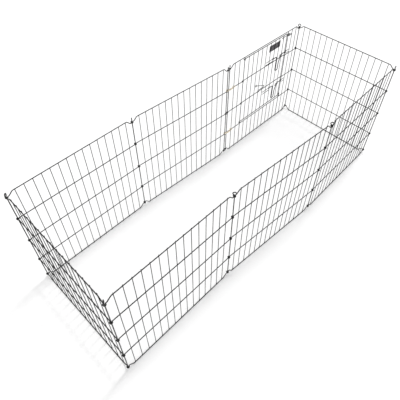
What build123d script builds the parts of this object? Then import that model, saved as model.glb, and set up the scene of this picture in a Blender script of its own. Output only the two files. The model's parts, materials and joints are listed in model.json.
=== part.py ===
from build123d import *
import math
import os

# Folding wire exercise pen for dogs: eight hinged panels in a closed loop, one of them with a door.
# Millimetres, +Z up, the origin under the middle of the pen at floor level.
# Bent wires have six-sided sections and mitred bends, and the hinge rods are round.

# Wire thicknesses
rail_wire = 3.8
bar_wire = 2.4
post_wire = 3.8
rod_wire = 4.2
door_edge_wire = 3.4
latch_wire = 4.4
bracket_wire = 3.0
hook_wire = 3.2

# Panel sizes
bar_pitch = 38.1
bar_count = 15
level_pitch = 152.4
level_count = 4
bar_end_inset = 0.4

# Hinge eyes, rolled at both ends of every cross wire
eye_clearance = 0.3
eye_gap = 0.3
eye_neck = 3.0
eye_drop = 18.0
bend_start = 10.5
bend_end = 31.0
bend_ease = 2.5

# Hinge rods with a finger ring on top
ring_radius = 7.5
ring_neck = 3.0
rod_foot_height = 6.0

# Layout of the loop, seen from above: how far each side panel turns from the straight, in degrees
front_middle_turn = -4.0
front_right_turn = 1.0
left_end_turn = -0.15
back_left_turn = 0.35
seam_gap = 13.0
seam_bow = 15.0

# Door, counted in bars from the seam
hinge_post_index = 3
latch_post_index = 13
door_bottom_rise = 15.6
door_top_drop = 10.0
door_edge_inset = 9.0

# Slide bolts on the door
upper_guide_gap = 2.0
lower_guide_gap = 25.3
bolt_tip_reach = 21.0
bolt_travel = 25.0
bolt_clearance = 0.35
handle_length = 96.0
handle_width = 25.0
handle_lean = 16.0
guide_height = 16.0
guide_from_edge = 9.0
tail_guide_from_handle = 31.0
tail_past_guide = 9.0
keeper_past_post = 10.0

# Ring pin at the top of the door
ring_pin_drop = 27.0
ring_pin_radius = 6.5
ring_pin_reach = 34.0
ring_pin_past_post = 14.0

# Hook with a ring, clipped over a bar of the door
hook_rise = 34.0
hook_span = 66.0
hook_loop_height = 9.0
hook_bar_index = 7

# Stop behind the door's lower corner
stop_over_wire = 21.0
stop_leg = 30.0
stop_width = 17.0

# Blank plate on the door
plate_width = 98.0
plate_height = 39.0
plate_thickness = 0.8
plate_bottom = 543.0
plate_overhang = 10.0

# Double-ended snaps that tie the seam
snap_barrel_radius = 4.2
snap_barrel_half = 12.0
snap_hook_width = 12.6
snap_hook_tip = 20.5
snap_hook_past = 8.0
snap_axis_inset = 8.0
snap_rest_gap = 0.3
plunger_wire = 2.4
plunger_clearance = 0.35
plunger_travel = 7.5
plunger_tail = 3.0
knob_width = 2.0
knob_height = 6.5

flat_share = math.cos(math.radians(30))
rail_half = rail_wire / 2 * flat_share
panel_width = bar_pitch * (bar_count + 1)
panel_height = level_pitch * level_count
bottom_rail_height = rail_half
top_rail_height = panel_height - rail_half
bottom_eye_height = bottom_rail_height + eye_drop
top_eye_height = top_rail_height - eye_drop
eye_step = 52.0
eye_radius = (rod_wire / 2 + eye_clearance + rail_wire / 2) / math.cos(math.radians(eye_step / 2))
eye_lift = (2 * rail_half + eye_gap) / 2

nodes = {}


def wire(points, width, flat, sides=6):
    """A wire along the points, with one flat of its section facing the direction flat."""
    points = [Vector(*point) for point in points]
    along = (points[1] - points[0]).normalized()
    facing = Vector(*flat)
    facing = (facing - along * facing.dot(along)).normalized()
    start = Plane(origin=points[0], x_dir=facing, z_dir=along)
    section = start * Rot(0, 0, 180 / sides) * RegularPolygon(width / 2, sides)
    return sweep(section, path=Polyline(*points), transition=Transition.RIGHT)


def curl(radius, neck, step, count, first=-35.0):
    """Points of an open loop as (towards the wire, sideways), from its neck to its free end."""
    points = [(radius + neck, 0.0)]
    for index in range(count + 1):
        angle = math.radians(first - index * step)
        points.append((radius * math.cos(angle), radius * math.sin(angle)))
    return points


def eye(x, height, towards):
    """A rolled eye round the upright axis at x, listed from its neck to its free end."""
    return [(x + towards * a, b, height) for a, b in curl(eye_radius, eye_neck, eye_step, 5)]


def level_height(level):
    if level == 0:
        return bottom_rail_height
    if level == level_count:
        return top_rail_height
    return level * level_pitch


def eye_height(level, lift):
    if level == 0:
        return bottom_eye_height + lift * eye_lift
    if level == level_count:
        return top_eye_height + lift * eye_lift
    return level_height(level) + lift * eye_lift


def cross_wire_end(x, level, lift, towards):
    """One end of a cross wire, from the straight wire to the free end of its eye."""
    height = eye_height(level, lift)
    points = []
    if level in (0, level_count):
        rail = level_height(level)
        side = 1 if height > rail else -1
        points.append((x + towards * bend_end, 0, rail))
        points.append((x + towards * (bend_end - 2 * bend_ease), 0, rail + side * bend_ease))
        points.append((x + towards * bend_start, 0, height))
    return points + eye(x, height, towards)


def cross_wire(level, left_lift, right_lift):
    left = cross_wire_end(0, level, left_lift, 1)
    right = cross_wire_end(panel_width, level, right_lift, -1)
    return wire(left[::-1] + right, rail_wire, (0, 0, 1))


def bar_centre(side, width):
    return side * (rail_wire / 2 + width / 2 * flat_share)


def upright(x, side, low, high, width=bar_wire):
    y = bar_centre(side, width)
    return wire([(x, y, low), (x, y, high)], width, (0, 1, 0))


def panel_bars(side):
    top = panel_height - bar_end_inset
    return [upright(index * bar_pitch, side, bar_end_inset, top) for index in range(1, bar_count + 1)]


def place(point, heading):
    return Pos(point[0], point[1], 0) * Rot(0, 0, heading)


def along(point, heading, length):
    angle = math.radians(heading)
    return (point[0] + length * math.cos(angle), point[1] + length * math.sin(angle))


def heading_of(start, end):
    return math.degrees(math.atan2(end[1] - start[1], end[0] - start[0]))


def meeting_point(first, first_reach, second, second_reach, side):
    """Where circles round two points cross; side 1 is left of the line from first to second."""
    span = math.dist(first, second)
    run = (first_reach ** 2 - second_reach ** 2 + span ** 2) / (2 * span)
    rise = math.sqrt(max(first_reach ** 2 - run ** 2, 0))
    ux, uy = (second[0] - first[0]) / span, (second[1] - first[1]) / span
    return (first[0] + run * ux - side * rise * uy, first[1] + run * uy + side * rise * ux)


# The hinge axes: the front and left sides are laid out, and the rest closes the loop at the seam
front_left_corner = (0.0, 0.0)
front_left_hinge = along(front_left_corner, 0, panel_width)
front_right_hinge = along(front_left_hinge, front_middle_turn, panel_width)
front_right_corner = along(front_right_hinge, front_right_turn, panel_width)
back_left_corner = along(front_left_corner, 90 + left_end_turn, panel_width)
back_left_hinge = along(back_left_corner, back_left_turn, panel_width)
seam_reach = math.sqrt(panel_width ** 2 - seam_bow ** 2)
back_reach = seam_gap + 2 * seam_reach
back_right_corner = meeting_point(back_left_hinge, back_reach, front_right_corner, panel_width, 1)
back_line = heading_of(back_left_hinge, back_right_corner)
seam_lean = math.degrees(math.asin(seam_bow / panel_width))
seam_left = along(back_left_hinge, back_line - seam_lean, panel_width)
seam_right = along(back_right_corner, back_line + 180 + seam_lean, panel_width)

# Each panel: where it starts, where it ends, which side its bars are on, and how its eyes are stacked
panels = {
    "front_left": (front_left_corner, front_left_hinge, 1, 1, -1),
    "front_middle": (front_left_hinge, front_right_hinge, 1, 1, -1),
    "front_right": (front_right_hinge, front_right_corner, 1, 1, -1),
    "right_end": (back_right_corner, front_right_corner, -1, 1, 1),
    "door_panel": (seam_right, back_right_corner, -1, 1, -1),
    "left_end": (back_left_corner, front_left_corner, 1, -1, -1),
    "back_left": (back_left_corner, back_left_hinge, -1, 1, -1),
    "back_middle": (back_left_hinge, seam_left, -1, 1, -1),
}

# Each hinge rod: its axis, the lift of its highest eye and the way its ring faces
rods = {
    "front_left_corner": (front_left_corner, 1, 60),
    "front_left": (front_left_hinge, 1, -52),
    "front_right": (front_right_hinge, 1, -62),
    "front_right_corner": (front_right_corner, 1, 12),
    "back_right_corner": (back_right_corner, 1, -80),
    "seam_right": (seam_right, 1, 38),
    "seam_left": (seam_left, -1, 38),
    "back_left": (back_left_hinge, 1, 56),
    "back_left_corner": (back_left_corner, 1, 52),
}


def ring_height(lift):
    """Height of a rod's finger ring, whose neck rests on the highest eye."""
    return eye_height(level_count, lift) + rail_half + eye_gap + ring_neck + ring_radius


def hinge_rod(lift, facing):
    """An upright rod with a finger ring on top."""
    centre = ring_height(lift)
    neck = centre - ring_radius - ring_neck
    shank = Pos(0, 0, rod_foot_height) * extrude(Circle(rod_wire / 2), neck - rod_foot_height)
    ring = wire([(b, 0, centre - a) for a, b in curl(ring_radius, ring_neck, 36, 8)], rod_wire, (0, 1, 0))
    return Rot(0, 0, facing) * (shank + ring)


# The panel with the doorway
door_side = -1
door_out = -door_side
hinge_post_x = hinge_post_index * bar_pitch
latch_post_x = latch_post_index * bar_pitch
post_y = door_side * (rail_wire + post_wire) / 2
door_edge_x = latch_post_x - door_edge_inset
door_levels = (1, 2, 3, 4)
door_edge_y = bar_centre(door_side, door_edge_wire)
bar_outer_y = door_side * rail_wire / 2
bracket_flat = bracket_wire / 2 * flat_share
bracket_y = bar_outer_y + door_out * bracket_flat


def door_wire_height(level):
    if level == 1:
        return level_height(1) + door_bottom_rise
    if level == level_count:
        return top_rail_height - door_top_drop
    return level_height(level) + 2 * eye_lift


def short_rails(x, lift, towards, post_x):
    """The short cross wires beside the doorway, from a hinge to a post."""
    wires = []
    for level in (2, 3):
        end = cross_wire_end(x, level, lift, towards)
        wires.append(wire(end[::-1] + [(post_x, 0, level_height(level))], rail_wire, (0, 0, 1)))
    return wires


def beside_doorway(post_index, bar_indices):
    """The stout post at one edge of the doorway, and the full bars beyond it."""
    top = panel_height - bar_end_inset
    foot = Pos(post_index * bar_pitch, post_y, bar_end_inset)
    post = foot * extrude(Circle(post_wire / 2), top - bar_end_inset)
    return [post] + [upright(index * bar_pitch, door_side, bar_end_inset, top) for index in bar_indices]


def sill_bars():
    """The short bars under the doorway."""
    top = level_height(1) + rail_half
    return [upright(index * bar_pitch, door_side, bar_end_inset, top)
            for index in range(hinge_post_index + 1, latch_post_index)]


def door_cross_wires():
    """The door's four cross wires, each rolled round the hinge post."""
    wires = []
    radius = (post_wire / 2 + eye_clearance + rail_wire / 2) / math.cos(math.radians(eye_step / 2))
    for level in door_levels:
        height = door_wire_height(level)
        loop = [(hinge_post_x + a, post_y + door_side * b, height)
                for a, b in curl(radius, eye_neck, eye_step, 5)]
        loop[0] = (hinge_post_x + radius + eye_neck, 0, height)
        wires.append(wire(loop[::-1] + [(door_edge_x + door_edge_wire / 2, 0, height)],
                          rail_wire, (0, 0, 1)))
    return wires


def door_bars():
    low = door_wire_height(1) - rail_half
    high = door_wire_height(level_count) + rail_half
    return [upright(index * bar_pitch, door_side, low, high)
            for index in range(hinge_post_index + 1, latch_post_index)]


def door_edge():
    low = door_wire_height(1) - rail_half
    high = door_wire_height(level_count) + rail_half
    return upright(door_edge_x, door_side, low, high, door_edge_wire)


# The slide bolts
bolt_y = door_out * (rail_wire / 2 + bolt_clearance + latch_wire / 2)
guide_nose_y = bolt_y + door_out * (latch_wire / 2 + bolt_clearance + bracket_wire / 2)
guide_slope = abs(guide_nose_y - bracket_y) - 1
handle_x = door_edge_x - guide_from_edge - guide_slope - (bracket_wire + latch_wire) / 2 - bolt_clearance
tail_x = handle_x - handle_width - handle_lean


def bolt(height):
    """A bolt bent from one wire: tip, hanging finger loop and tail."""
    foot = height - handle_length
    knee = height - handle_length / 2
    inner = handle_x - handle_lean
    points = [
        (latch_post_x + bolt_tip_reach, bolt_y, height),
        (handle_x, bolt_y, height),
        (inner, bolt_y, knee),
        (inner - 1, bolt_y, foot + 8),
        (inner - 9, bolt_y, foot),
        (inner - handle_width + 8, bolt_y, foot),
        (inner - handle_width, bolt_y, foot + 8),
        (tail_x, bolt_y, knee),
        (tail_x, bolt_y, height),
        (tail_x - tail_guide_from_handle - tail_past_guide, bolt_y, height),
    ]
    return wire(points, latch_wire, (0, 1, 0))


def bracket(nose_x, legs_x, height, spread):
    """A hairpin wire welded to the bars, with a nose that stands out round a bolt."""
    towards = 1 if legs_x > nose_x else -1
    top, low = height + spread / 2, height - spread / 2
    heel = nose_x + towards * guide_slope
    points = [
        (legs_x, bracket_y, top),
        (heel, bracket_y, top),
        (nose_x, guide_nose_y, top),
        (nose_x, guide_nose_y, low),
        (heel, bracket_y, low),
        (legs_x, bracket_y, low),
    ]
    return wire(points, bracket_wire, (0, 1, 0))


def bolt_guides(height):
    """The two guides of a bolt, on the door: one by its edge and one at the bolt's tail."""
    spread = latch_wire + 2 * bolt_clearance + bracket_wire
    edge_guide = door_edge_x - guide_from_edge
    tail_guide = tail_x - tail_guide_from_handle
    return [
        bracket(edge_guide, edge_guide - bar_pitch, height, spread + 2),
        bracket(tail_guide, tail_guide - 2 * bar_pitch, height, guide_height),
    ]


def keeper(height):
    """The loop beside the doorway that the bolt's tip slides into."""
    nose_x = latch_post_x + keeper_past_post
    return bracket(nose_x, latch_post_x + bar_pitch + bar_wire, height, guide_height)


def ring_pin():
    """A pin with a finger ring that slides along the top of the door."""
    height = top_rail_height - ring_pin_drop
    tip = door_edge_x - ring_pin_reach
    centre = latch_post_x + ring_pin_past_post + ring_pin_radius + ring_neck
    points = [(tip, bolt_y, height)]
    points += [(centre - a, bolt_y, height - b) for a, b in curl(ring_pin_radius, ring_neck, 40, 7)]
    return wire(points, bracket_wire, (0, 1, 0))


def small_loop(x, height, legs_x):
    """A narrow hairpin for the ring pin, nosed like the bolt guides."""
    towards = 1 if legs_x > x else -1
    spread = 2 * bracket_wire + 2 * bolt_clearance
    nose_y = bolt_y + door_out * (bracket_wire + bolt_clearance)
    heel = x + towards * (abs(nose_y - bracket_y) - 1)
    points = [
        (legs_x, bracket_y, height + spread / 2),
        (heel, bracket_y, height + spread / 2),
        (x, nose_y, height + spread / 2),
        (x, nose_y, height - spread / 2),
        (heel, bracket_y, height - spread / 2),
        (legs_x, bracket_y, height - spread / 2),
    ]
    return wire(points, bracket_wire, (0, 1, 0))


def ring_pin_loops():
    height = top_rail_height - ring_pin_drop
    last_bar = (latch_post_index - 1) * bar_pitch
    door_loop = small_loop(last_bar + 12, height, last_bar - bar_wire)
    post_loop = small_loop(latch_post_x + 7, height, latch_post_x + bar_pitch + bar_wire)
    return door_loop, post_loop


def ring_hook():
    """A sprung wire hook with a finger ring, clipped round a bar of the door."""
    y = bar_outer_y + door_out * (rail_wire + eye_gap + hook_wire / 2)
    low = door_wire_height(2) + rail_half + eye_gap + hook_wire / 2
    high = low + hook_loop_height
    bar_x = hook_bar_index * bar_pitch
    bend_x = bar_x + hook_span
    ring_centre = (bar_x - 14, high + hook_rise)
    dx, dz = bend_x - ring_centre[0], high - ring_centre[1]
    length = math.hypot(dx, dz)
    ux, uz = dx / length, dz / length
    ring = [(ring_centre[0] + a * ux - b * uz, y, ring_centre[1] + a * uz + b * ux)
            for a, b in curl(ring_pin_radius, ring_neck, 40, 7)]
    inner_y = bar_centre(door_side, bar_wire) + door_side * (bar_wire / 2 + eye_gap + hook_wire / 2)
    points = ring[::-1] + [
        (bend_x, y, high),
        (bend_x - 3, y, low),
        (bar_x + 8, y, low),
        (bar_x + 4.5, inner_y, low),
        (bar_x - 4.5, inner_y, low),
        (bar_x - 7, bar_outer_y + door_out * hook_wire / 2, low),
    ]
    return wire(points, hook_wire, (0, 1, 0))


def door_stop():
    """An upturned loop on the latch post, behind the door's lower corner."""
    top = door_wire_height(1) + stop_over_wire
    y = post_y + door_side * (post_wire / 2 + bracket_flat)
    outer, inner = latch_post_x + 0.5, latch_post_x + 0.5 - stop_width
    points = [
        (outer, y, top - stop_leg),
        (outer, y, top - 4),
        (outer - 4, y, top),
        (inner + 4, y, top),
        (inner, y, top - 4),
        (inner, y, top - stop_leg / 2),
    ]
    return wire(points, bracket_wire, (0, 1, 0))


def plate():
    """A plain plate that lies on the outer faces of the door's bars."""
    left = (hinge_post_index + 6) * bar_pitch - plate_overhang
    y = bar_outer_y + door_out * plate_thickness / 2
    centre = (left + plate_width / 2, y, plate_bottom + plate_height / 2)
    return Pos(*centre) * Box(plate_width, plate_thickness, plate_height)


# The snaps, modelled along their own X axis and then laid across the seam
bore_radius = plunger_wire / 2 + plunger_clearance


def snap_hook(reach):
    """One hook of a snap, from its root in the barrel to its tip."""
    far = reach + snap_hook_past
    points = [
        (snap_barrel_half - 1, 3.2, 0),
        (snap_barrel_half + 1, 3.2, 0),
        (snap_barrel_half + 4.5, 4.6, 0),
        (reach - 6.5, snap_hook_width - 1.6, 0),
        (reach - 3.5, snap_hook_width, 0),
        (reach + 2.0, snap_hook_width, 0),
        (far - 0.8, snap_hook_width - 3.2, 0),
        (far, 3.4, 0),
        (far - 3.0, 0, 0),
        (snap_hook_tip, 0, 0),
    ]
    return wire(points, hook_wire, (0, 0, 1))


def snap_body(reach):
    section = RegularPolygon(snap_barrel_radius, 8)
    barrel = Rot(0, 90, 0) * Rot(0, 0, 22.5) * extrude(section, snap_barrel_half, both=True)
    hook = snap_hook(reach)
    body = barrel + hook + hook.mirror(Plane.YZ)
    bore_start = snap_barrel_half - plunger_tail - plunger_travel - plunger_clearance
    bore_length = snap_barrel_half - bore_start
    bore = Pos(bore_start, 0, 0) * Rot(0, 90, 0) * extrude(RegularPolygon(bore_radius, 6), bore_length)
    slot_end = snap_barrel_half - plunger_tail + knob_width + plunger_clearance
    slot_width = knob_width + 2 * plunger_clearance
    slot = Pos((bore_start + slot_end) / 2, 0, knob_height / 2) * Box(
        slot_end - bore_start, slot_width, knob_height)
    for cut in (bore, slot):
        body = body - cut - cut.mirror(Plane.YZ)
    return body


def plunger():
    """A sliding bolt with its thumb knob, closed against the tip of the right-hand hook."""
    start = snap_barrel_half - plunger_tail
    length = snap_hook_tip - plunger_clearance - start
    rod = Pos(start, 0, 0) * Rot(0, 90, 0) * extrude(RegularPolygon(plunger_wire / 2, 6), length)
    knob = Pos(start + knob_width / 2, 0, knob_height / 2) * Box(knob_width, knob_width, knob_height)
    return rod + knob


def add(node, shapes, where=Location()):
    """Keeps the shapes of one node, put in their place in the pen."""
    shapes = shapes if isinstance(shapes, (list, tuple)) else [shapes]
    nodes[node] = [where * shape for shape in shapes]


for name, (start, end, side, left_lift, right_lift) in panels.items():
    where = place(start, heading_of(start, end))
    if name == "door_panel":
        seam_side = range(1, hinge_post_index)
        corner_side = range(latch_post_index + 1, bar_count + 1)
        add("door_panel_lower_rails", [cross_wire(level, 1, -1) for level in (0, 1)], where)
        add("door_panel_top_rail", cross_wire(level_count, 1, -1), where)
        add("door_panel_seam_rails", short_rails(0, 1, 1, hinge_post_x), where)
        add("door_panel_corner_rails", short_rails(panel_width, -1, -1, latch_post_x), where)
        add("door_panel_seam_bars", beside_doorway(hinge_post_index, seam_side), where)
        add("door_panel_corner_bars", beside_doorway(latch_post_index, corner_side), where)
        add("door_panel_sill_bars", sill_bars(), where)
    else:
        wires = [cross_wire(level, left_lift, right_lift) for level in range(level_count + 1)]
        add(name + "_rails", wires, where)
        add(name + "_bars", panel_bars(side), where)

for name, (point, lift, facing) in rods.items():
    add(name + "_rod", hinge_rod(lift, facing), place(point, 0))

door_place = place(seam_right, heading_of(seam_right, back_right_corner))
pin_loop_on_door, pin_loop_on_panel = ring_pin_loops()
add("door_cross_wires", door_cross_wires(), door_place)
add("door_bars", door_bars(), door_place)
add("door_edge", door_edge(), door_place)
add("door_stop", door_stop(), door_place)
add("door_plate", plate(), door_place)
add("ring_pin", ring_pin(), door_place)
add("ring_pin_loops", pin_loop_on_door, door_place)
add("ring_hook", ring_hook(), door_place)
guide_half = rail_half + (bracket_wire + guide_height) / 2
bolt_heights = {
    "upper": door_wire_height(3) + upper_guide_gap + guide_half,
    "lower": door_wire_height(2) - lower_guide_gap - guide_half,
}
for name, height in bolt_heights.items():
    add(name + "_bolt", bolt(height), door_place)
    add(name + "_bolt_guides", bolt_guides(height), door_place)
add("bolt_keepers", [keeper(height) for height in bolt_heights.values()] + [pin_loop_on_panel],
    door_place)

# A snap reaches from the rod across the seam to the first bar beside the doorway
snap_reach = (math.dist(seam_left, seam_right) + bar_pitch) / 2
snap_middle = (bar_pitch - math.dist(seam_left, seam_right)) / 2
snap_rise = eye_lift + rail_half + snap_rest_gap + snap_barrel_radius * math.cos(math.pi / 8)
snap_heights = {
    "upper": level_height(3) + snap_rise,
    "lower": level_height(1) + snap_rise,
}
for name, height in snap_heights.items():
    middle = door_place * Pos(snap_middle, door_side * snap_axis_inset, height)
    add(name + "_snap", snap_body(snap_reach), middle)
    add(name + "_snap_right_plunger", plunger(), middle)
    add(name + "_snap_left_plunger", plunger().mirror(Plane.YZ), middle)

# The origin goes under the middle of everything
extent = Compound([shape for shapes in nodes.values() for shape in shapes]).bounding_box()
centre_x = (extent.min.X + extent.max.X) / 2
centre_y = (extent.min.Y + extent.max.Y) / 2
os.makedirs("parts", exist_ok=True)
for name, shapes in nodes.items():
    solids = [Pos(-centre_x, -centre_y, 0) * solid for shape in shapes for solid in shape.solids()]
    export_step(Compound(solids) if len(solids) > 1 else solids[0], "parts/" + name + ".step")

print("whole pen", [round(value, 1) for value in extent.size])
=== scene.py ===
import bmesh
import bpy
import json
import math
from mathutils import Matrix, Vector


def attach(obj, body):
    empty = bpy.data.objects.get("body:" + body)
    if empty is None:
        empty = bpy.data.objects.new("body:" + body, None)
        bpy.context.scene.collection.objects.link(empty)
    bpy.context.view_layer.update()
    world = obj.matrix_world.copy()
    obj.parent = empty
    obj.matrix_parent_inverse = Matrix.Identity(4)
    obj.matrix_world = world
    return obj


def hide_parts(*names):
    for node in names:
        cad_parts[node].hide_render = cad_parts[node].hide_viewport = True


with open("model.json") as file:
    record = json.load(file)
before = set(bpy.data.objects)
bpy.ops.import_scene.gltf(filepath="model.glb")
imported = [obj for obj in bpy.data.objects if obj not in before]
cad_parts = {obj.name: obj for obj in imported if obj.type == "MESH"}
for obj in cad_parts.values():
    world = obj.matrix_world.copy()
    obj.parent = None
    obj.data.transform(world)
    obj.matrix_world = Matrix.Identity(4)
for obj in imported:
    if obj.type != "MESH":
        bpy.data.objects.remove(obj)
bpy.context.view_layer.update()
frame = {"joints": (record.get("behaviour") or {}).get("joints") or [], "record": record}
joints = {joint["name"]: joint for joint in frame["joints"]}
mounts = {mount["name"]: mount for mount in frame["record"]["mounts"]}
mm = 0.001
up = Vector((0, 0, 1))

# wire thicknesses and the panel grid, in millimetres as in the part
wireSizes = {
    "rail": 3.8, "bar": 2.4, "post": 3.8, "doorEdge": 3.4,
    "bolt": 4.4, "bracket": 3.0, "hook": 3.2, "plunger": 2.4,
}
coatedSizes = {  # as they look, over the coating
    "rail": 4.1, "bar": 3.0, "post": 3.7, "rod": 4.4, "doorEdge": 3.3,
    "bolt": 4.7, "bracket": 3.2, "hook": 3.5,
}
panelGrid = {
    "barPitch": 38.1, "bars": 15, "levelPitch": 152.4, "levels": 4,
    "barEnd": 0.5, "eyeDrop": 18.0, "eyeGap": 0.3, "coatGap": 0.08,
}
flatShare = math.cos(math.radians(30))  # a six-sided wire across its flats over across its corners
railHalf = wireSizes["rail"] / 2 * flatShare
panelWidth = panelGrid["barPitch"] * (panelGrid["bars"] + 1)
topRail = panelGrid["levelPitch"] * panelGrid["levels"] - railHalf
eyeLift = railHalf + panelGrid["eyeGap"] / 2
eyeStack = coatedSizes["rail"] / 2 + panelGrid["coatGap"]
topLevel = panelGrid["levels"]
outerLevels = (0, topLevel)
allLevels = range(topLevel + 1)


def levelHeight(level):
    if level == 0:
        return railHalf
    if level == topLevel:
        return topRail
    return level * panelGrid["levelPitch"]


def eyeHeight(level, lift):
    # the eyes of the bottom and top wires stand clear of the corner of the panel
    inset = {0: panelGrid["eyeDrop"], topLevel: -panelGrid["eyeDrop"]}.get(level, 0)
    return levelHeight(level) + inset + lift * eyeStack


# bending wire
wireLip = {"share": 0.72, "length": 0.3}  # how a cut end is rounded, as shares of the radius
bendSteps = {"corner": 22, "loop": 24, "gentle": 14}  # degrees between two rings of a bend
leastBend = 0.001  # in radians; a smaller turn stays straight


def newRing(geom):
    # the vertices among what an operator made, and the edges between them
    verts = [item for item in geom if isinstance(item, bmesh.types.BMVert)]
    fresh = set(verts)
    edges = [edge for vert in verts for edge in vert.link_edges if edge.other_vert(vert) in fresh]
    return verts, list(dict.fromkeys(edges))


class Wire:
    # a round wire that is run out straight and bent, as on a bending jig
    def __init__(self, bm, start, heading, thickness, sides=12):
        self.bm = bm
        self.at = Vector(start)
        self.heading = Vector(heading).normalized()
        self.radius = thickness / 2
        turn = self.heading.to_track_quat("Z", "Y").to_matrix().to_4x4()
        made = bmesh.ops.create_circle(bm, segments=sides, radius=self.radius * wireLip["share"],
                                       matrix=Matrix.Translation(self.at) @ turn)
        self.verts, self.ring = newRing(made["verts"])
        bmesh.ops.contextual_create(bm, geom=self.ring)
        self.flare(1 / wireLip["share"])

    def run(self, length):
        if length <= 0:
            return self
        made = bmesh.ops.extrude_edge_only(self.bm, edges=self.ring)
        self.verts, self.ring = newRing(made["geom"])
        bmesh.ops.translate(self.bm, verts=self.verts, vec=self.heading * length)
        self.at = self.at + self.heading * length
        return self

    def aim(self, target):
        # leans the next straight run a hair towards the target
        self.heading = (Vector(target) - self.at).normalized()
        return self

    def runTo(self, target):
        return self.aim(target).run((Vector(target) - self.at).length)

    def flare(self, factor):
        # the rounded lip at a cut end
        self.run(self.radius * wireLip["length"])
        bmesh.ops.scale(self.bm, vec=(factor,) * 3, space=Matrix.Translation(-self.at),
                        verts=self.verts)
        return self

    def bend(self, axis, angle, radius, kind="corner"):
        axis = Vector(axis).normalized()
        if angle < 0:
            axis, angle = -axis, -angle
        centre = self.at + axis.cross(self.heading) * radius
        steps = max(1, math.ceil(math.degrees(angle) / bendSteps[kind]))
        made = bmesh.ops.spin(self.bm, geom=self.verts + self.ring, cent=centre, axis=axis,
                              dvec=(0, 0, 0), angle=angle, steps=steps,
                              use_merge=False, use_duplicate=False)
        self.verts, self.ring = newRing(made["geom_last"])
        turn = Matrix.Rotation(angle, 3, axis)
        self.at = centre + turn @ (self.at - centre)
        self.heading = (turn @ self.heading).normalized()
        return self

    def follow(self, path, kind="corner"):
        # runs through (point, bend radius) pairs, and stops at the last point
        points = [Vector(point) for point, radius in path]
        for corner, ahead, (point, radius) in zip(points, points[1:], path):
            heading = (ahead - corner).normalized()
            distance, turn = (corner - self.at).length, self.heading.angle(heading)
            if turn < leastBend:
                self.run(distance)
                continue
            self.run(distance - radius * math.tan(turn / 2))
            self.bend(self.heading.cross(heading), turn, radius, kind)
        return self.run((points[-1] - self.at).length)

    def end(self):
        self.flare(wireLip["share"])
        bmesh.ops.contextual_create(self.bm, geom=self.ring)
        return self


def route(bm, path, thickness, sides=12):
    # one cut length of wire through (point, bend radius) pairs
    start, second = Vector(path[0][0]), Vector(path[1][0])
    return Wire(bm, start, second - start, thickness, sides).follow(path[1:]).end()


def eyeReach(shape, offset=0.0):
    # how far before an eye's centre its wire leaves the straight
    return math.sqrt((shape["loop"] + shape["neck"]) ** 2 - (offset + shape["neck"]) ** 2)


def eyeAngles(shape, offset=0.0):
    # how far a wire bends aside at the neck, and how far it then curls back round the eye
    lean = math.atan2(eyeReach(shape, offset), offset + shape["neck"])
    return lean, math.radians(270 - shape["open"]) + lean


def curlEnd(wire, shape, axis):
    # rolls the end of a wire into an open eye; the wire already stands at the eye's reach
    lean, sweep = eyeAngles(shape)
    wire.bend(axis, lean, shape["neck"])
    wire.bend(axis, -sweep, shape["loop"], "loop")
    return wire.end()


def curlStart(bm, centre, inward, axis, thickness, shape, offset=0.0):
    # the same eye, bent from its open end; inward points from the eye into the straight wire
    axis = Vector(axis)
    lean, sweep = eyeAngles(shape, offset)
    spoke = Matrix.Rotation(math.radians(shape["open"]), 3, axis) @ Vector(inward)
    wire = Wire(bm, Vector(centre) + spoke * shape["loop"], axis.cross(spoke), thickness)
    wire.bend(axis, sweep, shape["loop"], "loop")
    return wire.bend(axis, -lean, shape["neck"])


# making pieces
smoothAngle = 40


def finishPiece(name, bm, place, body, node, finish):
    # a finished mesh in metres in the pen's frame, riding on its body in its node's place
    slotName, material = finish
    bmesh.ops.transform(bm, matrix=Matrix.Scale(mm, 4) @ place, verts=bm.verts)
    bmesh.ops.recalc_face_normals(bm, faces=bm.faces)
    mesh = bpy.data.meshes.new(name)
    bm.to_mesh(mesh)
    bm.free()
    mesh.shade_smooth()
    mesh.set_sharp_from_angle(angle=math.radians(smoothAngle))
    mesh.materials.append(material)
    piece = bpy.data.objects.new(name, mesh)
    bpy.context.scene.collection.objects.link(piece)
    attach(piece, body)
    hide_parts(node)


def placeAt(point, heading):
    return Matrix.Translation(Vector(point)) @ Matrix.Rotation(heading, 4, "Z")


def placeBetween(start, end):
    along = end - start
    return placeAt(start, math.atan2(along.y, along.x))


# shader nodes

def feed(tree, socket, value):
    if isinstance(value, Sock):
        tree.links.new(value.socket, socket)
    else:
        socket.default_value = value


def addNode(tree, kind, settings, inputs, output=0):
    # any node: its type, its settings or a ramp's stops, and the values or links of its sockets
    node = tree.nodes.new(kind)
    for key, value in settings.items():
        if key == "stops":
            for element, (position, color) in zip(node.color_ramp.elements, value):
                element.position, element.color = position, color
        else:
            setattr(node, key, value)
    for key, value in inputs.items():
        feed(tree, node.inputs[key], value)
    return Sock(tree, node.outputs[output])


class Sock:
    # wraps a socket so that shader maths reads as plain expressions
    def __init__(self, tree, socket):
        self.tree, self.socket = tree, socket

    def maths(self, operation, other, clamp=False):
        settings = {"operation": operation, "use_clamp": clamp}
        return addNode(self.tree, "ShaderNodeMath", settings, {0: self, 1: other})

    def __add__(self, other):
        return self.maths("ADD", other)

    __radd__ = __add__

    def __mul__(self, other):
        return self.maths("MULTIPLY", other)

    __rmul__ = __mul__

    def clamped(self):
        return self.maths("ADD", 0.0, clamp=True)


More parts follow.
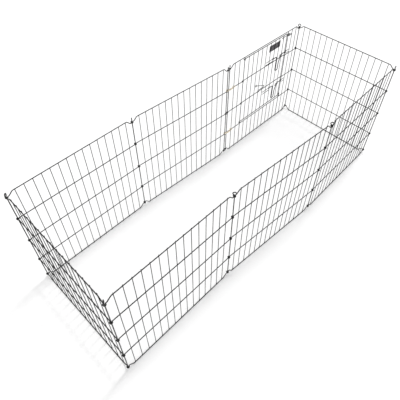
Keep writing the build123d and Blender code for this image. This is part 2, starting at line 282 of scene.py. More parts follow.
class Paint:
    # one material under construction
    def __init__(self, name):
        self.material = bpy.data.materials.new(name)
        self.material.use_nodes = True
        self.tree = self.material.node_tree
        self.shader = self.tree.nodes["Principled BSDF"]
        self.place = self.node("ShaderNodeTexCoord", {}, {}, "Object")

    def node(self, kind, settings, inputs, output=0):
        return addNode(self.tree, kind, settings, inputs, output)

    def noise(self, scale, detail=3.0, roughness=0.5, distortion=0.0):
        return self.node("ShaderNodeTexNoise", {}, {
            "Vector": self.place, "Scale": scale, "Detail": detail,
            "Roughness": roughness, "Distortion": distortion})

    def ramp(self, factor, low, high):
        grey = [(low, (0, 0, 0, 1)), (high, (1, 1, 1, 1))]
        return self.node("ShaderNodeValToRGB", {"stops": grey}, {"Fac": factor})

    def mix(self, factor, first, second):
        return self.node("ShaderNodeMix", {"data_type": "RGBA"}, {
            "Factor": factor, 6: first, 7: second}, 2)

    def bump(self, height, strength, distance):
        return self.node("ShaderNodeBump", {}, {
            "Height": height, "Strength": strength, "Distance": distance})

    def set(self, **inputs):
        names = {"color": "Base Color", "rough": "Roughness", "metal": "Metallic",
                 "coat": "Coat Weight", "coatRough": "Coat Roughness", "normal": "Normal",
                 "specular": "Specular IOR Level", "glow": "Emission Color",
                 "glowStrength": "Emission Strength"}
        for key, value in inputs.items():
            feed(self.tree, self.shader.inputs[names[key]], value)
        return self.material


# materials
coating = {
    "deep": (0.0035, 0.0035, 0.0038, 1), "worn": (0.012, 0.012, 0.0125, 1),
    "smooth": 0.36, "dull": 0.55, "grainSize": 900, "patchSize": 22, "scuffSize": 260,
    "coat": 0.08, "coatRough": 0.3, "specular": 0.3, "pebble": 0.18, "pebbleDepth": 0.0003,
}


def coatedWire(name, settings):
    # black baked coating: a fine pebbled skin with faint duller patches
    paint = Paint(name)
    patches = paint.ramp(paint.noise(settings["patchSize"], 4, 0.6), 0.38, 0.68)
    grain = paint.noise(settings["grainSize"], 2, 0.5)
    scuffs = paint.ramp(paint.noise(settings["scuffSize"], 5, 0.7, 0.6), 0.60, 0.74)
    wear = (patches * 0.35 + scuffs * 0.3).clamped()
    rough = patches * (settings["dull"] - settings["smooth"]) + grain * 0.06 + settings["smooth"]
    skin = paint.bump(grain + patches * 0.3, settings["pebble"], settings["pebbleDepth"])
    return paint.set(
        color=paint.mix(wear, settings["deep"], settings["worn"]), rough=rough, normal=skin,
        coat=settings["coat"], coatRough=settings["coatRough"], specular=settings["specular"])


plating = {
    "bright": (0.84, 0.75, 0.59, 1), "tarnish": (0.66, 0.56, 0.41, 1),
    "smooth": 0.24, "dull": 0.5, "patchSize": 120, "skinSize": 700,
    "skin": 0.12, "skinDepth": 0.0001,
}


def castMetal(name, settings):
    # pale plated die casting, a little tarnished in patches, with a cast skin
    paint = Paint(name)
    tarnish = paint.ramp(paint.noise(settings["patchSize"], 5, 0.62), 0.44, 0.72)
    skin = paint.noise(settings["skinSize"], 3, 0.6)
    rough = tarnish * (settings["dull"] - settings["smooth"]) + skin * 0.08 + settings["smooth"]
    return paint.set(
        color=paint.mix(tarnish, settings["bright"], settings["tarnish"]), metal=1.0,
        rough=rough, normal=paint.bump(skin, settings["skin"], settings["skinDepth"]))


rolledSheet = {
    "dark": (0.026, 0.023, 0.028, 1), "pale": (0.046, 0.041, 0.049, 1),
    "stretch": (30, 30, 1400), "patchSize": 40, "smooth": 0.36, "coat": 0.12,
    "coatRough": 0.25, "lines": 0.12, "lineDepth": 0.0002,
}


def plateSheet(name, settings):
    # dark satin sheet with fine rolling lines along it
    paint = Paint(name)
    stretched = paint.node("ShaderNodeMapping", {}, {
        "Vector": paint.place, "Scale": settings["stretch"]})
    lines = paint.node("ShaderNodeTexNoise", {}, {
        "Vector": stretched, "Scale": 1.0, "Detail": 3.0})
    patches = paint.ramp(paint.noise(settings["patchSize"], 4, 0.6), 0.35, 0.7)
    return paint.set(
        color=paint.mix(patches, settings["dark"], settings["pale"]),
        rough=patches * 0.12 + lines * 0.08 + settings["smooth"],
        coat=settings["coat"], coatRough=settings["coatRough"],
        normal=paint.bump(lines, settings["lines"], settings["lineDepth"]))


# each finish is a slot's name and its material
wireFinish = ("black_wire", coatedWire("blackCoating", coating))
snapFinish = ("snap_brass", castMetal("platedCasting", plating))
plateFinish = ("plate_black", plateSheet("plateSheet", rolledSheet))
print("materials made")

# camera, floor and light
photoCamera = {
    "place": (-1.12503, -0.9039, 1.81259), "focal": 417.617, "imageSize": 400,
    "centre": (204.144, 177.141), "sensorWidth": 36, "clip": (0.05, 50),
    "right": (0.6961424, -0.7178769, 0.0052497),
    "down": (-0.5287612, -0.5177153, -0.6726305),
    "forward": (0.4855985, 0.4654059, -0.7400130),
}


def makeCamera(settings):
    size = settings["imageSize"]
    data = bpy.data.cameras.new("photoCamera")
    data.sensor_width = settings["sensorWidth"]
    data.lens = settings["focal"] / size * data.sensor_width
    data.shift_x = (size / 2 - settings["centre"][0]) / size
    data.shift_y = (settings["centre"][1] - size / 2) / size
    data.clip_start, data.clip_end = settings["clip"]
    camera = bpy.data.objects.new("photoCamera", data)
    bpy.context.scene.collection.objects.link(camera)
    axes = [Vector(settings["right"]), -Vector(settings["down"]), -Vector(settings["forward"])]
    turn = Matrix(axes).transposed().to_4x4()
    camera.matrix_world = Matrix.Translation(Vector(settings["place"])) @ turn
    bpy.context.scene.camera = camera


studio = {
    "floorSize": 30, "floorDrop": 0.0005, "floorTint": 0.95, "mottle": 0.01, "floorGlow": 0.05,
    "worldLight": 0.82, "sunStrength": 1.05, "sunAngle": 8, "sunFrom": (0.46, 0.05, 0.88),
}


def makeFloor(settings):
    # pale paper that the camera sees a little brighter than its light makes it
    bm = bmesh.new()
    bmesh.ops.create_grid(bm, x_segments=2, y_segments=2, size=settings["floorSize"])
    mesh = bpy.data.meshes.new("floor")
    bm.to_mesh(mesh)
    bm.free()
    floor = bpy.data.objects.new("floor", mesh)
    floor.location.z = -settings["floorDrop"]
    bpy.context.scene.collection.objects.link(floor)
    paint = Paint("floorPaper")
    mottle = paint.ramp(paint.noise(3, 3, 0.5), 0.2, 0.8)
    tint, pale = settings["floorTint"], settings["floorTint"] + settings["mottle"]
    seenFloor = paint.node("ShaderNodeLightPath", {}, {}, "Is Camera Ray")
    mesh.materials.append(paint.set(
        color=paint.mix(mottle, (tint, tint, tint, 1), (pale, pale, pale, 1)),
        glow=(1, 1, 1, 1), glowStrength=seenFloor * settings["floorGlow"],
        rough=0.9, specular=0.1))


def makeLight(settings):
    # a white room, full white where it is seen and dimmer where it lights, and a soft sun
    world = bpy.data.worlds.new("studio")
    bpy.context.scene.world = world
    world.use_nodes = True
    tree = world.node_tree
    background = tree.nodes["Background"]
    direct = addNode(tree, "ShaderNodeLightPath", {}, {}, "Is Camera Ray")
    mirrored = addNode(tree, "ShaderNodeLightPath", {}, {}, "Is Glossy Ray")
    seen = direct.maths("MAXIMUM", mirrored)
    dim = settings["worldLight"]
    feed(tree, background.inputs["Color"], (1, 1, 1, 1))
    feed(tree, background.inputs["Strength"], seen * (1 - dim) + dim)

    data = bpy.data.lights.new("softSun", "SUN")
    data.energy = settings["sunStrength"]
    data.angle = math.radians(settings["sunAngle"])
    sun = bpy.data.objects.new("softSun", data)
    sun.rotation_euler = Vector(settings["sunFrom"]).to_track_quat("Z", "Y").to_euler()
    bpy.context.scene.collection.objects.link(sun)


makeCamera(photoCamera)
makeFloor(studio)
makeLight(studio)
print("camera, floor and light made")


# the panels

def hingePoint(name):
    return Vector(joints[name + "_hinge"]["pos_m"]) / mm


def seamPoint(name):
    point = Vector(mounts[name]["pos_m"]) / mm
    return Vector((point.x, point.y, 0))


seamLeft, seamRight = seamPoint("seam_left_end"), seamPoint("seam_right_end")
corner = {name: hingePoint(name) for name in (
    "front_left_corner", "front_left", "front_right", "front_right_corner",
    "back_right_corner", "back_left_corner", "back_left")}
# start hinge, end hinge, side of the bars, how its left and right eyes are stacked
panels = {
    "front_left": (corner["front_left_corner"], corner["front_left"], 1, 1, -1),
    "front_middle": (corner["front_left"], corner["front_right"], 1, 1, -1),
    "front_right": (corner["front_right"], corner["front_right_corner"], 1, 1, -1),
    "right_end": (corner["back_right_corner"], corner["front_right_corner"], -1, 1, 1),
    "left_end": (corner["back_left_corner"], corner["front_left_corner"], 1, -1, -1),
    "back_left": (corner["back_left_corner"], corner["back_left"], -1, 1, -1),
    "back_middle": (corner["back_left"], seamLeft, -1, 1, -1),
    "door_panel": (seamRight, corner["back_right_corner"], -1, 1, -1),
}
railShape = {
    "loop": 4.6, "neck": 3.0, "open": 65, "bendFar": 28.5, "bendNear": 11.0,
    "farRadius": 12, "nearRadius": 6,
}
barShape = {"sides": 10, "seat": 0.9}  # seat: share of its radius that a bar stands off a wire
weldShape = {"width": 1.9, "height": 1.5, "depth": 0.75, "out": 0.1, "around": 7, "rows": 4}


def leftEye(bm, level, lift):
    # the left end of a cross wire, rolled round the rod at x = 0
    return curlStart(bm, (0, 0, eyeHeight(level, lift)), (1, 0, 0), up, coatedSizes["rail"],
                     railShape)


def rightEyeStart(level, lift):
    # where a cross wire begins to bend round the rod at its right end
    return Vector((panelWidth - eyeReach(railShape), 0, eyeHeight(level, lift)))


def crossWire(bm, level, leftLift, rightLift):
    # the top and bottom wires bend away from their eyes, and the others lean a hair
    wire, stop = leftEye(bm, level, leftLift), rightEyeStart(level, rightLift)
    if level in outerLevels:
        rail, near, far = levelHeight(level), railShape["bendNear"], railShape["bendFar"]
        tight, wide = railShape["nearRadius"], railShape["farRadius"]
        wire.follow([
            ((near, 0, eyeHeight(level, leftLift)), tight), ((far, 0, rail), wide),
            ((panelWidth - far, 0, rail), wide), ((panelWidth - near, 0, stop.z), tight),
            (stop, 0)], "gentle")
    else:
        wire.runTo(stop)
    return curlEnd(wire, railShape, -up)


def wireAt(level, x, leftLift, rightLift):
    # height of a cross wire where a bar crosses it
    if level in outerLevels:
        return levelHeight(level)
    share = x / panelWidth
    return eyeHeight(level, leftLift) * (1 - share) + eyeHeight(level, rightLift) * share


def barCentre(side, thickness):
    return side * (wireSizes["rail"] / 2 + thickness / 2 * barShape["seat"])


def addBar(bm, x, y, low, high, kind="bar"):
    route(bm, [((x, y, low), 0), ((x, y, high), 0)], coatedSizes[kind], barShape["sides"])


def addWelds(bm, crossings, side):
    # the squeezed metal where a bar crosses a wire, at each (x, height)
    size = Matrix.Diagonal((weldShape["width"], weldShape["depth"], weldShape["height"], 1))
    y = side * (wireSizes["rail"] / 2 + weldShape["out"])
    for x, height in crossings:
        bmesh.ops.create_uvsphere(
            bm, u_segments=weldShape["around"], v_segments=weldShape["rows"], radius=1.0,
            matrix=Matrix.Translation(Vector((x, y, height))) @ size)


def panelCrossings(xs, levels, leftLift, rightLift):
    return [(x, wireAt(level, x, leftLift, rightLift)) for x in xs for level in levels]


barXs = [index * panelGrid["barPitch"] for index in range(1, panelGrid["bars"] + 1)]
fullLow = panelGrid["barEnd"]
fullHigh = panelGrid["levelPitch"] * panelGrid["levels"] - panelGrid["barEnd"]

for name, (start, end, side, leftLift, rightLift) in panels.items():
    if name == "door_panel":
        continue
    place = placeBetween(start, end)
    bm = bmesh.new()
    for level in allLevels:
        crossWire(bm, level, leftLift, rightLift)
    finishPiece(name + "_crossWires", bm, place, name, name + "_rails", wireFinish)
    bm = bmesh.new()
    for x in barXs:
        addBar(bm, x, barCentre(side, wireSizes["bar"]), fullLow, fullHigh)
    addWelds(bm, panelCrossings(barXs, allLevels, leftLift, rightLift), side)
    finishPiece(name + "_uprights", bm, place, name, name + "_bars", wireFinish)
print("seven plain panels made")

# hinge rods
rodShape = {"loop": 7.4, "neck": 4.0, "open": 20, "foot": 6.0, "ringRise": 10.5, "sides": 14}
# where each rod stands, how the top eye on it is stacked, and which way its ring faces
rodTurns = {
    "front_left_corner": (corner["front_left_corner"], 1, 60),
    "front_left": (corner["front_left"], 1, -52),
    "front_right": (corner["front_right"], 1, -62),
    "front_right_corner": (corner["front_right_corner"], 1, 12),
    "back_right_corner": (corner["back_right_corner"], 1, -80),
    "seam_right": (seamRight, 1, 38),
    "seam_left": (seamLeft, -1, 38),
    "back_left": (corner["back_left"], 1, 56),
    "back_left_corner": (corner["back_left_corner"], 1, 52),
}
for name, (point, lift, facing) in rodTurns.items():
    ringCentre = eyeHeight(topLevel, lift) + railHalf + panelGrid["eyeGap"] + rodShape["ringRise"]
    bm = bmesh.new()
    wire = Wire(bm, (0, 0, rodShape["foot"]), up, coatedSizes["rod"], rodShape["sides"])
    wire.run(ringCentre - eyeReach(rodShape) - wire.at.z)
    curlEnd(wire, rodShape, (0, -1, 0))
    finishPiece(name + "_ringRod", bm, placeAt(point, math.radians(facing)),
                name + "_rod", name + "_rod", wireFinish)
print("hinge rods made")

# the panel with the doorway; its posts are counted as bars, from the seam
doorShape = {
    "hingePost": 3, "latchPost": 13, "bottomRise": 15.6, "topDrop": 10.0, "edgeInset": 9.0,
    "loop": 4.5, "neck": 3.0, "open": 65, "lift": 0.55,
    "stubPast": 1.2, "sillPast": 2.2, "wirePast": 1.6, "barPast": 1.8,
}
doorStart, doorEnd, inside, seamLift, cornerLift = panels["door_panel"]
doorPlace = placeBetween(doorStart, doorEnd)
outside = -inside
barY = barCentre(inside, wireSizes["bar"])
hingeX = doorShape["hingePost"] * panelGrid["barPitch"]
latchX = doorShape["latchPost"] * panelGrid["barPitch"]
hingeY = inside * (wireSizes["rail"] + wireSizes["post"]) / 2
edgeX = latchX - doorShape["edgeInset"]
seamXs = barXs[:doorShape["hingePost"] - 1]
doorXs = barXs[doorShape["hingePost"]:doorShape["latchPost"] - 1]
cornerXs = barXs[doorShape["latchPost"]:]
doorLevels, sillLevels = (1, 2, 3, 4), (0, 1)
stubLevels = (2, 3)  # where the doorway cuts the cross wires short


def doorWireHeight(level):
    if level == 1:
        return levelHeight(1) + doorShape["bottomRise"]
    if level == topLevel:
        return topRail - doorShape["topDrop"]
    return levelHeight(level) + 2 * eyeLift + doorShape["lift"]


def finishPanelPiece(name, bm, node, finish=wireFinish, body="door_panel"):
    # a piece made in this panel's own frame: along it from the seam, across it and up
    finishPiece(name, bm, doorPlace, body, node, finish)


bm = bmesh.new()
for level in sillLevels:
    crossWire(bm, level, seamLift, cornerLift)
finishPanelPiece("doorPanel_lowerWires", bm, "door_panel_lower_rails")
bm = bmesh.new()
crossWire(bm, topLevel, seamLift, cornerLift)
finishPanelPiece("doorPanel_topWire", bm, "door_panel_top_rail")

bm = bmesh.new()
for level in stubLevels:
    wire = leftEye(bm, level, seamLift).aim((hingeX, 0, levelHeight(level)))
    wire.run(hingeX + doorShape["stubPast"] - wire.at.x).end()
finishPanelPiece("doorPanel_seamStubs", bm, "door_panel_seam_rails")
bm = bmesh.new()
for level in stubLevels:
    start = (latchX - doorShape["stubPast"], 0, levelHeight(level))
    wire = Wire(bm, start, (1, 0, 0), coatedSizes["rail"])
    curlEnd(wire.runTo(rightEyeStart(level, cornerLift)), railShape, -up)
finishPanelPiece("doorPanel_cornerStubs", bm, "door_panel_corner_rails")


def besideDoorway(name, postX, xs, node):
    # the stout post at the doorway and the bars beyond it
    bm = bmesh.new()
    addBar(bm, postX, hingeY, fullLow, fullHigh, "post")
    for x in xs:
        addBar(bm, x, barY, fullLow, fullHigh)
    addWelds(bm, panelCrossings([postX] + xs, allLevels, seamLift, cornerLift), inside)
    finishPanelPiece(name, bm, node)


besideDoorway("doorPanel_seamUprights", hingeX, seamXs, "door_panel_seam_bars")
besideDoorway("doorPanel_cornerUprights", latchX, cornerXs, "door_panel_corner_bars")
bm = bmesh.new()
for x in doorXs:
    addBar(bm, x, barY, fullLow, levelHeight(1) + doorShape["sillPast"])
addWelds(bm, panelCrossings(doorXs, sillLevels, seamLift, cornerLift), inside)
finishPanelPiece("doorPanel_sillUprights", bm, "door_panel_sill_bars")
print("doorway made")


# the door

def finishDoorPiece(name, bm, node, finish=wireFinish):
    finishPanelPiece(name, bm, node, finish, "door")


def doorCrossings(xs):
    return [(x, doorWireHeight(level)) for x in xs for level in doorLevels]


bm = bmesh.new()
for level in doorLevels:
    wire = curlStart(bm, (hingeX, hingeY, doorWireHeight(level)), (1, 0, 0), -up,
                     coatedSizes["rail"], doorShape, offset=-hingeY)
    wire.run(edgeX + doorShape["wirePast"] - wire.at.x).end()
finishDoorPiece("door_crossWires", bm, "door_cross_wires")

doorLow = doorWireHeight(1) - doorShape["barPast"]
doorHigh = doorWireHeight(topLevel) + doorShape["barPast"]
bm = bmesh.new()
for x in doorXs:
    addBar(bm, x, barY, doorLow, doorHigh)
addWelds(bm, doorCrossings(doorXs), inside)
finishDoorPiece("door_uprights", bm, "door_bars")
bm = bmesh.new()
addBar(bm, edgeX, barCentre(inside, wireSizes["doorEdge"]), doorLow, doorHigh, "doorEdge")
addWelds(bm, doorCrossings([edgeX]), inside)
finishDoorPiece("door_edgeWire", bm, "door_edge")
print("door made")

# slide bolts, guides and keepers
boltShape = {
    "clearance": 0.35, "tipReach": 21.0, "handleLength": 96.0, "handleWidth": 25.0,
    "handleLean": 16.0, "handleSwing": 1, "guideHeight": 16.0, "fromEdge": 9.0,
    "tailGuide": 31.0, "tailPast": 9.0, "keeperPast": 10.0, "upperGap": 2.0, "lowerGap": 25.3,
    "tightBend": 5, "kneeBend": 26, "footBend": 10, "noseSlack": 2,
}
hairpinShape = {"heelInset": 1, "heelBend": 5, "slimBend": 3, "wideBend": 3.6}
boltY = outside * (wireSizes["rail"] / 2 + boltShape["clearance"] + wireSizes["bolt"] / 2)
barFace = inside * wireSizes["rail"] / 2
bracketY = barFace + outside * wireSizes["bracket"] / 2 * flatShare
noseY = boltY + outside * (
    wireSizes["bolt"] / 2 + boltShape["clearance"] + wireSizes["bracket"] / 2)


def noseRun(y):
    # how far along the door a hairpin takes to nose out to y
    return abs(y - bracketY) - hairpinShape["heelInset"]


guideX = edgeX - boltShape["fromEdge"]
handleX = (guideX - noseRun(noseY) - (wireSizes["bracket"] + wireSizes["bolt"]) / 2
           - boltShape["clearance"])
innerX = handleX - boltShape["handleLean"]
tailX = innerX - boltShape["handleWidth"]
tailGuideX = tailX - boltShape["tailGuide"]
guideHalf = railHalf + (wireSizes["bracket"] + boltShape["guideHeight"]) / 2
noseSpread = (wireSizes["bolt"] + 2 * boltShape["clearance"] + wireSizes["bracket"]
              + boltShape["noseSlack"])
keeperLegsX = latchX + panelGrid["barPitch"] + wireSizes["bar"]
boltHeights = {
    "upper": doorWireHeight(3) + boltShape["upperGap"] + guideHalf,
    "lower": doorWireHeight(2) - boltShape["lowerGap"] - guideHalf,
}


def hairpin(bm, noseX, legsX, height, spread, y, rounding):
    # a bent wire welded to the bars, nosed out round a bolt or a pin
    heelX = noseX + math.copysign(noseRun(y), legsX - noseX)
    high, low, heel = height + spread / 2, height - spread / 2, hairpinShape["heelBend"]
    route(bm, [((legsX, bracketY, high), 0), ((heelX, bracketY, high), heel),
               ((noseX, y, high), rounding), ((noseX, y, low), rounding),
               ((heelX, bracketY, low), heel), ((legsX, bracketY, low), 0)],
          coatedSizes["bracket"])


def slideBolt(bm, height):
    # one wire from the tip back along the door, down round the hanging handle and up to the tail
    knee, foot = height - boltShape["handleLength"] / 2, height - boltShape["handleLength"]
    route(bm, [((latchX + boltShape["tipReach"], boltY, height), 0),
               ((handleX, boltY, height), boltShape["tightBend"]),
               ((innerX, boltY, knee), boltShape["kneeBend"]),
               ((innerX - boltShape["handleSwing"], boltY, foot), boltShape["footBend"]),
               ((tailX, boltY, foot), boltShape["footBend"]),
               ((tailX, boltY, height), boltShape["tightBend"]),
               ((tailGuideX - boltShape["tailPast"], boltY, height), 0)],
          coatedSizes["bolt"])


keeperBm = bmesh.new()
for name, height in boltHeights.items():
    bm = bmesh.new()
    slideBolt(bm, height)
    finishPanelPiece(name + "Bolt_wire", bm, name + "_bolt", body=name + "_bolt")
    bm = bmesh.new()
    hairpin(bm, guideX, guideX - panelGrid["barPitch"], height, noseSpread, noseY,
            hairpinShape["slimBend"])
    hairpin(bm, tailGuideX, tailGuideX - 2 * panelGrid["barPitch"], height,
            boltShape["guideHeight"], noseY, hairpinShape["wideBend"])
    finishDoorPiece(name + "Bolt_guides", bm, name + "_bolt_guides")
    hairpin(keeperBm, latchX + boltShape["keeperPast"], keeperLegsX, height,
            boltShape["guideHeight"], noseY, hairpinShape["wideBend"])
print("slide bolts made")

# ring pin and its loops
pinShape = {
    "loop": 6.4, "neck": 3.6, "open": 45, "drop": 27.0, "reach": 34.0, "ringPast": 23.5,
    "doorLoop": 12, "panelLoop": 7, "loopBend": 2.4,
}
pinHeight = topRail - pinShape["drop"]
bm = bmesh.new()
wire = Wire(bm, (edgeX - pinShape["reach"], boltY, pinHeight), (1, 0, 0), coatedSizes["bracket"])
wire.run(latchX + pinShape["ringPast"] - eyeReach(pinShape) - wire.at.x)
curlEnd(wire, pinShape, (0, -1, 0))
finishPanelPiece("ringPin_wire", bm, "ring_pin", body="ring_pin")
pinSpread = 2 * wireSizes["bracket"] + 2 * boltShape["clearance"]
pinNose = boltY + outside * (wireSizes["bracket"] + boltShape["clearance"])
lastBar = doorXs[-1]
bm = bmesh.new()
hairpin(bm, lastBar + pinShape["doorLoop"], lastBar - wireSizes["bar"], pinHeight, pinSpread,
        pinNose, pinShape["loopBend"])
finishDoorPiece("ringPin_doorLoop", bm, "ring_pin_loops")
hairpin(keeperBm, latchX + pinShape["panelLoop"], keeperLegsX, pinHeight, pinSpread, pinNose,
        pinShape["loopBend"])
finishPanelPiece("boltKeepers_wire", keeperBm, "bolt_keepers")
print("ring pin made")

# ring hook, clipped behind one bar of the door
hookShape = {
    "loop": 6.4, "neck": 3.6, "open": 45, "rise": 34.0, "span": 66.0, "height": 9.0, "bar": 7,
    "ringBack": 14, "farRound": 3.6, "farLean": 3, "clip": 8, "clipBehind": 4.5, "tip": 7,
    "clipRound": 2.2,
}
hookHalf = wireSizes["hook"] / 2
hookY = barFace + outside * (wireSizes["rail"] + panelGrid["eyeGap"] + hookHalf)
hookLow = doorWireHeight(2) + railHalf + panelGrid["eyeGap"] + hookHalf
hookHigh = hookLow + hookShape["height"]
hookBar = hookShape["bar"] * panelGrid["barPitch"]
behindBar = barY + inside * (wireSizes["bar"] / 2 + panelGrid["eyeGap"] + hookHalf)
ringCentre = Vector((hookBar - hookShape["ringBack"], hookY, hookHigh + hookShape["rise"]))
farBend = Vector((hookBar + hookShape["span"], hookY, hookHigh))
bm = bmesh.new()
wire = curlStart(bm, ringCentre, (farBend - ringCentre).normalized(), (0, -1, 0),
                 coatedSizes["hook"], hookShape)
wire.follow([(farBend, hookShape["farRound"]),
             ((farBend.x - hookShape["farLean"], hookY, hookLow), hookShape["farRound"]),
             ((hookBar + hookShape["clip"], hookY, hookLow), hookShape["clipRound"]),
             ((hookBar + hookShape["clipBehind"], behindBar, hookLow), hookShape["clipRound"]),
             ((hookBar - hookShape["clipBehind"], behindBar, hookLow), hookShape["clipRound"]),
             ((hookBar - hookShape["tip"], barFace + outside * hookHalf, hookLow), 0)]).end()
finishDoorPiece("ringHook_wire", bm, "ring_hook")

# door stop: an upturned loop on the latch post
stopShape = {"overWire": 21.0, "leg": 30.0, "width": 17.0, "rounding": 5.5, "past": 0.5}
stopTop = doorWireHeight(1) + stopShape["overWire"]
stopY = hingeY + inside * (wireSizes["post"] / 2 + wireSizes["bracket"] / 2 * flatShare)
stopX = latchX + stopShape["past"]
farX = stopX - stopShape["width"]
bm = bmesh.new()
route(bm, [((stopX, stopY, stopTop - stopShape["leg"]), 0),
           ((stopX, stopY, stopTop), stopShape["rounding"]),
           ((farX, stopY, stopTop), stopShape["rounding"]),
           ((farX, stopY, stopTop - stopShape["leg"] / 2), 0)], coatedSizes["bracket"])
finishPanelPiece("doorStop_wire", bm, "door_stop")

# the bare plate on the door
plateShape = {
    "width": 98.0, "height": 39.0, "thickness": 0.8, "bottom": 543.0, "overhang": 10.0, "bar": 9,
    "corner": 2.5, "cornerSteps": 5, "edge": 0.2, "edgeSteps": 2,
}


def edgeDepth(edge):
    return abs(edge.verts[0].co.y - edge.verts[1].co.y)


bm = bmesh.new()
size = Matrix.Diagonal((plateShape["width"], plateShape["thickness"], plateShape["height"], 1))
middle = Vector((
    plateShape["bar"] * panelGrid["barPitch"] - plateShape["overhang"] + plateShape["width"] / 2,
    barFace + outside * plateShape["thickness"] / 2,
    plateShape["bottom"] + plateShape["height"] / 2))
bmesh.ops.create_cube(bm, size=1, matrix=Matrix.Translation(middle) @ size)
corners = [edge for edge in bm.edges if edgeDepth(edge) > plateShape["thickness"] / 2]
bmesh.ops.bevel(bm, geom=corners, offset=plateShape["corner"],
                segments=plateShape["cornerSteps"], affect="EDGES", profile=0.5, material=-1)
rims = [edge for edge in bm.edges if edgeDepth(edge) < plateShape["thickness"] / 2]
bmesh.ops.bevel(bm, geom=rims, offset=plateShape["edge"],
                segments=plateShape["edgeSteps"], affect="EDGES", profile=0.5, material=-1)
finishDoorPiece("doorPlate_sheet", bm, "door_plate", plateFinish)
print("hook, stop and plate made")

# snaps at the seam
snapShape = {
    "radius": 4.2, "half": 12.0, "hookWidth": 12.6, "tip": 20.5, "past": 8.0, "inset": 8.0,
    "gap": 0.3, "clearance": 0.35, "travel": 7.5, "tail": 3.0, "knobWidth": 2.0,
    "waistStep": 0.45, "slotTop": 7, "sides": 24, "hookSides": 14,
}
plungerShape = {"chamfer": 0.3, "tipChamfer": 0.5, "sides": 16, "knobSides": 14}
# the knob from its foot in the plunger to its rounded top: heights from the axis, and radii
knobProfile = [(0.6, 0.9), (4.3, 0.9), (4.9, 1.0), (5.9, 1.0), (6.35, 0.8), (6.5, 0.45)]


def turned(bm, profile, sides, place=Matrix.Identity(4)):
    # a lathe-turned form along X from (x, radius) pairs, closed at both ends
    quarter = Matrix.Rotation(math.radians(90), 4, "Y")
    x, radius = profile[0]
    made = bmesh.ops.create_circle(bm, segments=sides, radius=radius,
                                   matrix=place @ Matrix.Translation((x, 0, 0)) @ quarter)
    verts, ring = newRing(made["verts"])
    bmesh.ops.contextual_create(bm, geom=ring)
    for nextX, nextRadius in profile[1:]:
        verts, ring = newRing(bmesh.ops.extrude_edge_only(bm, edges=ring)["geom"])
        bmesh.ops.translate(bm, verts=verts, vec=place.to_3x3() @ Vector((nextX - x, 0, 0)))
        centre = place @ Vector((nextX, 0, 0))
        bmesh.ops.scale(bm, vec=(nextRadius / radius,) * 3, space=Matrix.Translation(-centre),
                        verts=verts)
        x, radius = nextX, nextRadius
    bmesh.ops.contextual_create(bm, geom=ring)


def newObject(name, bm):
    mesh = bpy.data.meshes.new(name)
    bm.to_mesh(mesh)
    made = bpy.data.objects.new(name, mesh)
    bpy.context.scene.collection.objects.link(made)
    return made


def carve(bm, boxes):
    # cuts boxes, each a centre and a size, out of the form
    bmesh.ops.recalc_face_normals(bm, faces=bm.faces)
    work, cutters = newObject("blank", bm), []
    for centre, size in boxes:
        cutterBm = bmesh.new()
        bmesh.ops.create_cube(cutterBm, size=1, matrix=Matrix.Translation(Vector(centre))
                              @ Matrix.Diagonal(Vector(size).to_4d()))
        cutters.append(newObject("cutter", cutterBm))
        cutterBm.free()
        modifier = work.modifiers.new("cut", "BOOLEAN")
        modifier.operation, modifier.solver = "DIFFERENCE", "EXACT"
        modifier.object = cutters[-1]
    bpy.context.view_layer.update()
    done = work.evaluated_get(bpy.context.evaluated_depsgraph_get())
    bm.clear()
    bm.from_mesh(done.data)
    for item in [work] + cutters:
        bpy.data.objects.remove(item)


def snapHook(bm, reach, mirror):
    # from the barrel's end round the bar to the plunger's tip: along, across and bend radius
    far = reach + snapShape["past"]
    width, half = snapShape["hookWidth"], snapShape["half"]
    path = [(half - 1, 3.2, 0), (half + 1, 3.2, 3), (half + 4.5, 4.6, 4),
            (reach - 6.5, width - 1.6, 3), (reach - 3.5, width, 3), (reach + 2.0, width, 4),
            (far - 0.8, width - 3.2, 4), (far, 3.4, 4), (far - 3.0, 0, 3.6),
            (snapShape["tip"], 0, 0)]
    route(bm, [((mirror * x, y, 0), radius) for x, y, radius in path], wireSizes["hook"],
          snapShape["hookSides"])


seamWidth = (seamLeft - seamRight).length
snapReach = (seamWidth + panelGrid["barPitch"]) / 2
snapX = (panelGrid["barPitch"] - seamWidth) / 2
snapRise = eyeLift + railHalf + snapShape["gap"] + snapShape["radius"] * math.cos(math.pi / 8)
half, full = snapShape["half"], snapShape["radius"]
waist = full - snapShape["waistStep"]
plungerStart = half - snapShape["tail"]
plungerEnd = snapShape["tip"] - snapShape["clearance"]
plungerRadius = wireSizes["plunger"] / 2
boreStart = plungerStart - snapShape["travel"] - snapShape["clearance"]
bore = plungerRadius + snapShape["clearance"]
slotEnd = plungerStart + snapShape["knobWidth"] + snapShape["clearance"]
slotWidth = snapShape["knobWidth"] + 2 * snapShape["clearance"]
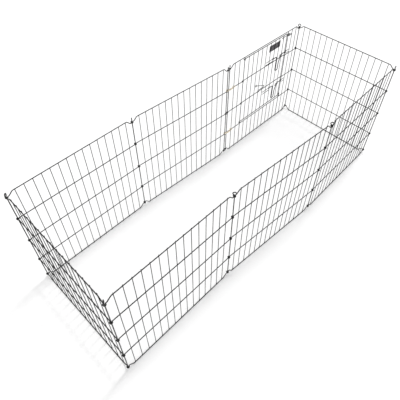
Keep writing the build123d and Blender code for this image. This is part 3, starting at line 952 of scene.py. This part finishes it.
# the barrel from inside its bore, out over its end and back to its waist: x and radius
barrelEnd = [(boreStart, bore), (half - 0.4, bore), (half, bore + 0.4), (half, full - 0.7),
             (half - 0.3, full - 0.2), (half - 0.9, full), (half - 2.4, full), (half - 3.0, waist)]
barrelProfile = barrelEnd + [(-x, radius) for x, radius in reversed(barrelEnd)]
plungerProfile = [
    (plungerStart, plungerRadius - plungerShape["chamfer"]),
    (plungerStart + plungerShape["chamfer"], plungerRadius),
    (plungerEnd - plungerShape["tipChamfer"], plungerRadius),
    (plungerEnd, plungerRadius - plungerShape["tipChamfer"])]
snapSides = {"right": 1, "left": -1}


def snapBarrel(bm):
    # a bored barrel with a slot for each thumb knob and a hook at each end
    turned(bm, barrelProfile, snapShape["sides"])
    slotSize = (slotEnd - boreStart, slotWidth, snapShape["slotTop"])
    carve(bm, [((mirror * (boreStart + slotEnd) / 2, 0, snapShape["slotTop"] / 2), slotSize)
               for mirror in snapSides.values()])
    for mirror in snapSides.values():
        snapHook(bm, snapReach, mirror)


def plunger(bm, mirror):
    # a sliding pin, turned end for end on the left, with its upright thumb knob
    spin = Matrix.Rotation(0 if mirror > 0 else math.pi, 4, "Z")
    turned(bm, plungerProfile, plungerShape["sides"], spin)
    knobX = mirror * (plungerStart + snapShape["knobWidth"] / 2)
    upright = Matrix.Rotation(math.radians(-90), 4, "Y")
    turned(bm, knobProfile, plungerShape["knobSides"],
           Matrix.Translation((knobX, 0, 0)) @ upright)


for name, level in (("upper", 3), ("lower", 1)):
    place = doorPlace @ Matrix.Translation(
        (snapX, inside * snapShape["inset"], levelHeight(level) + snapRise))
    bm = bmesh.new()
    snapBarrel(bm)
    finishPiece(name + "Snap_body", bm, place, "door_panel", name + "_snap", snapFinish)
    for side, mirror in snapSides.items():
        bm = bmesh.new()
        plunger(bm, mirror)
        plungerNode = name + "_snap_" + side + "_plunger"
        finishPiece(name + "Snap_" + side + "Plunger", bm, place, plungerNode, plungerNode,
                    snapFinish)
print("snaps made")

bpy.context.scene.view_settings.view_transform = "Standard"
